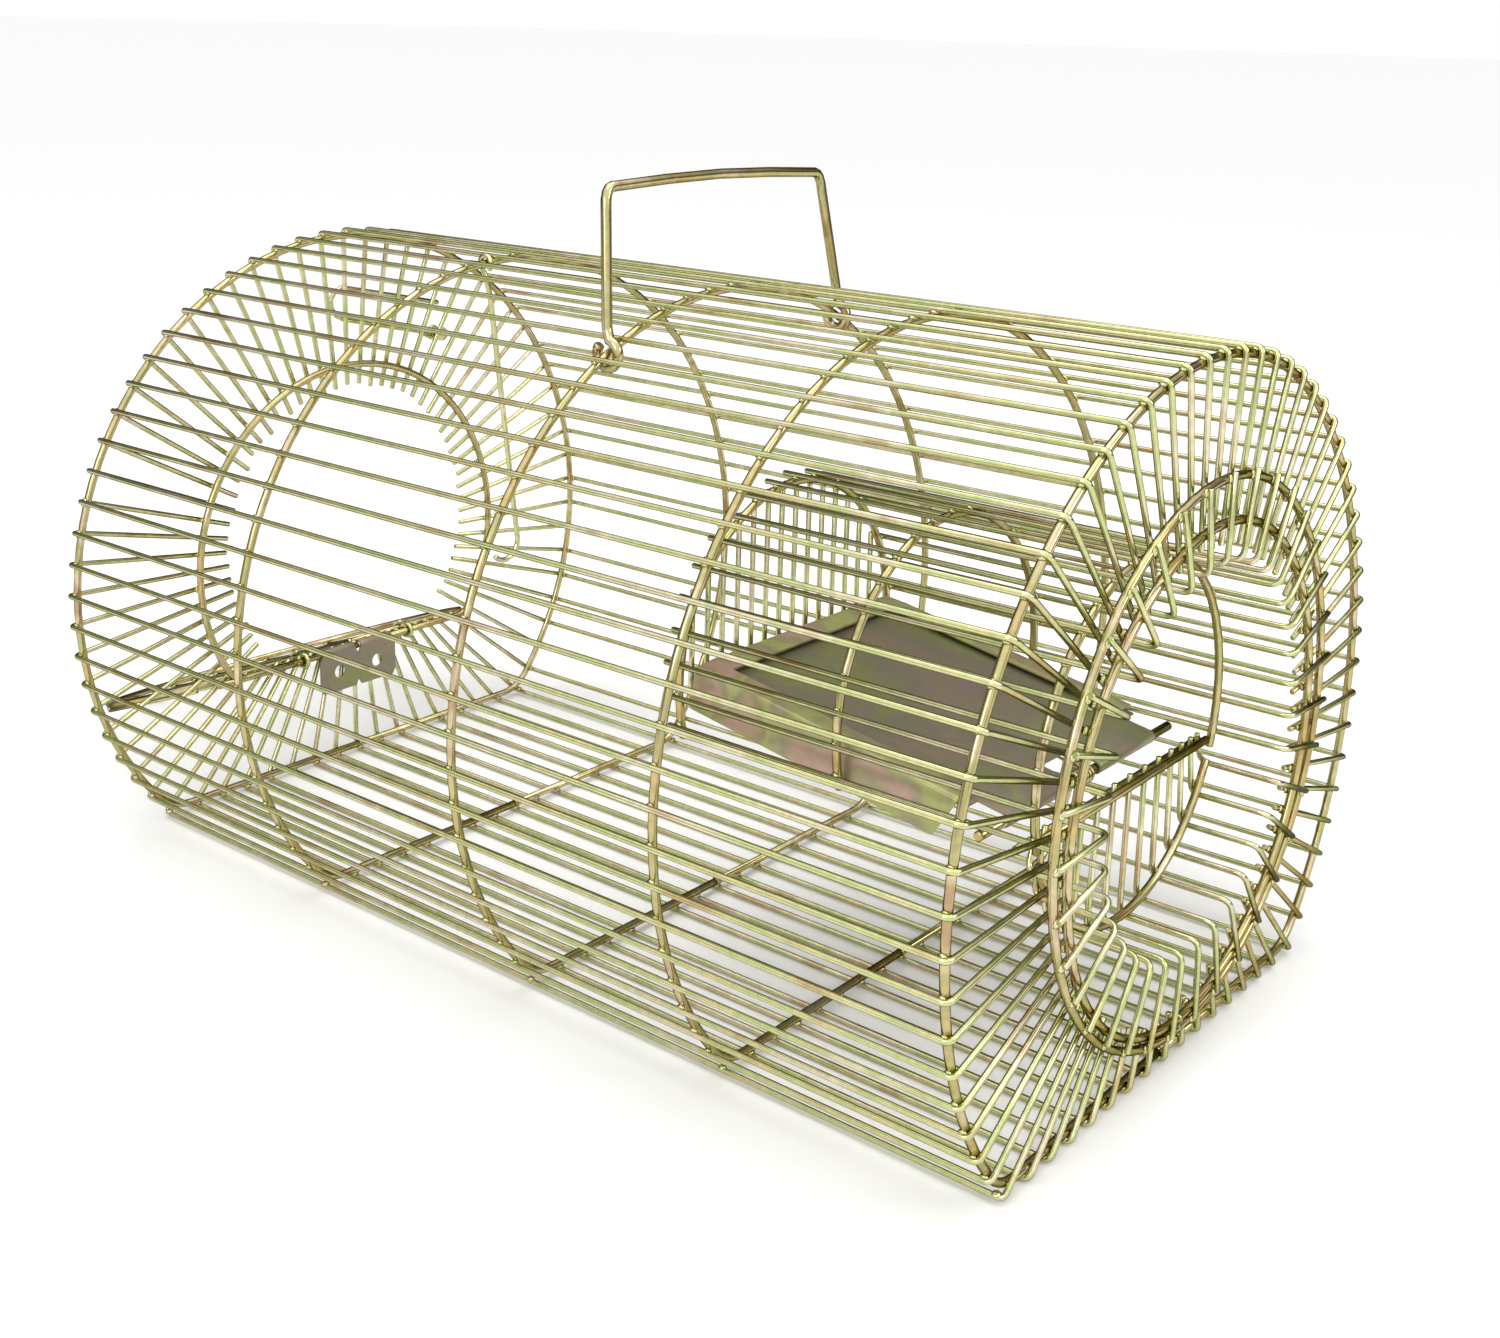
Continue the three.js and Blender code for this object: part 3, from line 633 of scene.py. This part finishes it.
# --- Rear door ------------------------------------------------------------------------------
# A flat-footed ring of hoop wire, a little larger than the rear ring, with thin wires welded
# across it. It turns on its foot and lies open on the ground behind the trap.
door_x = rear_x - 0.005
door_radius = 0.0735
door_place = (
    Matrix.Translation((door_x, 0, bar_z)) @ Matrix.Rotation(math.radians(-111), 4, "Y")
    @ Matrix.Translation((0, 0, -bar_z))
)
door = bmesh.new()
draw_wire(door, flat_footed_ring(0, door_radius, rear_bar_height, 0.005, 26), hoop_wire, 12)
weld(door, Vector((0, 0, bar_z)), 0.0016, Vector((0, 1, 0)), 0.0014)
bmesh.ops.transform(door, matrix=door_place, verts=door.verts)
make_piece("door_frame_piece", door, hoop_zinc, "rear_door", "hoop_wire", "door_frame")

door_grille = bmesh.new()
for index in range(-6, 7):
    y = index * 0.011
    reach = math.sqrt(door_radius ** 2 - y ** 2)
    low = max(rear_bar_height, -reach) + 0.0008
    ends = (axis_z + low, axis_z, axis_z + reach + 0.0008)
    draw_wire(door_grille, [Vector((-lay_over, y, z)) for z in ends], cage_wire)
    weld(door_grille, Vector((-0.0014, y, axis_z + reach)), 0.0013, Vector((1, 0, 0)), 0.0007)
    weld(door_grille, Vector((-0.0014, y, axis_z + low + 0.0004)), 0.0011, Vector((1, 0, 0)), 0.0007)
cross_half = math.sqrt(door_radius ** 2 - 0.003 ** 2)
draw_wire(door_grille, [Vector((-lay_over, y, axis_z + 0.003)) for y in (-cross_half, 0, cross_half)],
          cage_wire)
bmesh.ops.transform(door_grille, matrix=door_place, verts=door_grille.verts)
make_piece("door_wires_piece", door_grille, wire_zinc, "rear_door", "cage_wire", "door_wires")

# Two clips of thin wire are wrapped round the foot of the door and the foot of the rear ring.
# They are the door's hinges.
for name in ("hinge_clip_left", "hinge_clip_right"):
    low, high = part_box(name)
    y = (low[1] + high[1]) / 2
    wrap = 0.0025
    around = [Vector(((door_x + rear_x) / 2 - 0.0012, y, bar_z + wrap))]
    around += [
        Vector((door_x + wrap * math.cos(math.radians(a)), y, bar_z + wrap * math.sin(math.radians(a))))
        for a in range(90, 271, 20)
    ]
    around += [
        Vector((rear_x + wrap * math.cos(math.radians(a)), y, bar_z + wrap * math.sin(math.radians(a))))
        for a in range(-90, 91, 20)
    ]
    around.append(Vector(((door_x + rear_x) / 2 + 0.0008, y, bar_z + wrap)))
    clip = bmesh.new()
    draw_wire(clip, around, cage_wire)
    make_piece(name + "_piece", clip, wire_zinc, "cage", "cage_wire", name)

# --- Hinge plate ----------------------------------------------------------------------------
# A small plate of sheet steel with two punched holes hangs on the foot of the rear ring, its top
# edge curled over the wire.
plate_low, plate_high = (Vector(corner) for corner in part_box("hinge_plate"))
hinge_plate = bmesh.new()
half_cell = (plate_high.y - plate_low.y) / 4
plate_wrap = hoop_wire + 0.0003 + sheet
plate_drop = 0.015
for hole_y in (plate_low.y + half_cell, plate_high.y - half_cell):
    hole = bmesh.ops.create_circle(
        hinge_plate, segments=24, radius=0.0026,
        matrix=Matrix.Translation((0, hole_y, -0.008)) @ Matrix.Rotation(math.pi / 2, 4, "Y"),
    )["verts"]
    rim = list({edge for vertex in hole for edge in vertex.link_edges})
    border = bmesh.ops.extrude_edge_only(hinge_plate, edges=rim)["geom"]
    for item in border:
        if isinstance(item, bmesh.types.BMVert):
            dy, dz = item.co.y - hole_y, item.co.z + 0.008
            reach = max(abs(dy) / half_cell, abs(dz) / (plate_drop / 2 + 0.0005))
            item.co.y = hole_y + dy / reach
            item.co.z = min(-0.008 + dz / reach, 0)
bmesh.ops.translate(hinge_plate, vec=(plate_wrap - sheet / 2, 0, 0), verts=hinge_plate.verts)
bmesh.ops.remove_doubles(hinge_plate, verts=hinge_plate.verts, dist=1e-5)
top_edges = [
    edge for edge in hinge_plate.edges if all(vertex.co.z > -0.0004 for vertex in edge.verts)
]
bmesh.ops.spin(
    hinge_plate, geom=top_edges, cent=(0, 0, 0), axis=(0, 1, 0), angle=math.radians(-100), steps=8,
)
bmesh.ops.remove_doubles(hinge_plate, verts=hinge_plate.verts, dist=1e-6)
bmesh.ops.translate(hinge_plate, vec=(rear_x, 0, bar_z), verts=hinge_plate.verts)
sheet_piece("hinge_plate_piece", hinge_plate, sheet_zinc_painted_shade, "cage", "hinge_plate")

# --- Latch ----------------------------------------------------------------------------------
# A hairpin of thin wire turns on a headed pin at the top left of the rear opening. It swings down
# behind the closed door's rim.
pin_low, pin_high = (Vector(corner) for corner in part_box("latch_pin"))
pin_y, pin_z = (pin_low.y + pin_high.y) / 2, (pin_low.z + pin_high.z) / 2
pin = bmesh.new()
shank = bmesh.ops.create_circle(
    pin, cap_ends=True, segments=20, radius=0.0028,
    matrix=Matrix.Translation((pin_high.x, pin_y, pin_z)) @ Matrix.Rotation(math.pi / 2, 4, "Y"),
)["verts"]
rim = list({edge for vertex in shank for edge in vertex.link_edges})
depth = pin_high.x - pin_low.x
before_x, before_r = pin_high.x, 0.0028
for along, radius in ((0.0008, 0.0028), (0.0008, 0.001), (depth - 0.0006, 0.001),
                      (depth - 0.0006, 0.0018), (depth - 0.0002, 0.0018), (depth, 0.0014)):
    out = bmesh.ops.extrude_edge_only(pin, edges=rim)["geom"]
    ring = [item for item in out if isinstance(item, bmesh.types.BMVert)]
    rim = [item for item in out if isinstance(item, bmesh.types.BMEdge)]
    x = pin_high.x - along
    bmesh.ops.translate(pin, vec=(x - before_x, 0, 0), verts=ring)
    grow = radius / before_r
    bmesh.ops.scale(pin, vec=(1, grow, grow), space=Matrix.Translation((-x, -pin_y, -pin_z)), verts=ring)
    before_x, before_r = x, radius
bmesh.ops.edgeloop_fill(pin, edges=rim)
make_piece("latch_pin_piece", pin, hoop_zinc, "cage", "hoop_wire", "latch_pin")

latch_low, latch_high = (Vector(corner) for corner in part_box("door_latch"))
latch_x = (latch_low.x + latch_high.x) / 2
latch_path = [
    (0.0022 * math.cos(math.radians(a)), 0.0022 * math.sin(math.radians(a)))
    for a in range(-130, 201, 22)
]
latch_path.reverse()
latch_path += [(-0.008, 0.0014), (-0.046, 0.01), (-0.0495, 0.0118), (-0.0517, 0.015),
               (-0.0519, 0.0182), (-0.0498, 0.0212), (-0.0465, 0.0225), (-0.043, 0.0219), (0.003, 0.012)]
latch = bmesh.new()
draw_wire(latch, [Vector((latch_x, pin_y + y, pin_z + z)) for y, z in latch_path], cage_wire)
make_piece("door_latch_piece", latch, wire_zinc, "latch", "cage_wire", "door_latch")

# --- Floor, light and camera ----------------------------------------------------------------
# A plain white floor and backdrop in one, with large soft lights from above, left and right.
scene = bpy.context.scene
ground = bmesh.new()
bmesh.ops.create_grid(ground, x_segments=1, y_segments=1, size=40)
ground_data = bpy.data.meshes.new("floor")
ground.to_mesh(ground_data)
ground.free()
floor = bpy.data.objects.new("floor", ground_data)
scene.collection.objects.link(floor)
floor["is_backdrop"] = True
white = bpy.data.materials.new("floor_white")
white.use_nodes = True
white.node_tree.nodes["Principled BSDF"].inputs["Base Color"].default_value = (0.9, 0.9, 0.9, 1)
white.node_tree.nodes["Principled BSDF"].inputs["Roughness"].default_value = 0.9
floor.data.materials.append(white)

# The studio is white overhead and on its near side and dim elsewhere, so that round metal shows a
# bright and a dark edge. What is seen directly behind the trap is plain white.
world = bpy.data.worlds.new("studio")
world.use_nodes = True
sky, sky_links = world.node_tree.nodes, world.node_tree.links
where = sky.new("ShaderNodeTexCoord")
towards = sky.new("ShaderNodeVectorMath")
towards.operation = "DOT_PRODUCT"
towards.inputs[1].default_value = (0.3, -0.36, 0.88)
walls = sky.new("ShaderNodeValToRGB")
steps = ((0, 0.08), (0.2, 0.16), (0.5, 0.75), (1, 1))
while len(walls.color_ramp.elements) < len(steps):
    walls.color_ramp.elements.new(0.5)
for index, (position, grey) in enumerate(steps):
    walls.color_ramp.elements[index].position = position
    walls.color_ramp.elements[index].color = (grey, grey, grey, 1)
seen = sky.new("ShaderNodeLightPath")
plain = sky.new("ShaderNodeBackground")
plain.inputs["Color"].default_value = (1, 1, 1, 1)
mix = sky.new("ShaderNodeMixShader")
sky_links.new(where.outputs["Generated"], towards.inputs[0])
sky_links.new(towards.outputs["Value"], walls.inputs["Fac"])
sky_links.new(walls.outputs["Color"], sky["Background"].inputs["Color"])
sky["Background"].inputs["Strength"].default_value = 1.6
sky_links.new(seen.outputs["Is Camera Ray"], mix.inputs["Fac"])
sky_links.new(sky["Background"].outputs["Background"], mix.inputs[1])
sky_links.new(plain.outputs["Background"], mix.inputs[2])
sky_links.new(mix.outputs["Shader"], sky["World Output"].inputs["Surface"])
scene.world = world
scene.view_settings.view_transform = "Standard"


def softbox(name, place, size, power):
    """A large area light aimed at the middle of the trap."""
    data = bpy.data.lights.new(name, "AREA")
    data.shape = "RECTANGLE"
    data.size, data.size_y = size
    data.energy = power
    light = bpy.data.objects.new(name, data)
    light.location = place
    light.rotation_mode = "QUATERNION"
    light.rotation_quaternion = (Vector(place) - Vector((0, 0, 0.1))).to_track_quat("Z", "Y")
    scene.collection.objects.link(light)


softbox("top_light", (0.1, 0.1, 1.4), (1.0, 1.0), 5)
softbox("left_light", (0.2, -1.3, 0.7), (0.5, 0.4), 3)
softbox("right_light", (1.3, 0.4, 0.8), (0.5, 0.5), 3)

camera = bpy.data.objects.new("camera", bpy.data.cameras.new("camera"))
scene.collection.objects.link(camera)
heading, drop, roll = math.radians(128.35), math.radians(-14.25), math.radians(1.63)
look = Vector((math.cos(drop) * math.cos(heading), math.cos(drop) * math.sin(heading), math.sin(drop)))
level = look.cross(Vector((0, 0, 1))).normalized()
upright = level.cross(look)
right = math.cos(roll) * level + math.sin(roll) * upright
up = right.cross(look)
camera.matrix_world = Matrix.Translation((rear_x + 0.5652, -0.463, axis_z + 0.2039)) @ Matrix(
    (right, up, -look)
).transposed().to_4x4()
camera.data.sensor_width = 36
camera.data.lens = 44.96
camera.data.shift_y = -0.1127
camera.data.clip_start = 0.01
scene.camera = camera

low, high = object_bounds()
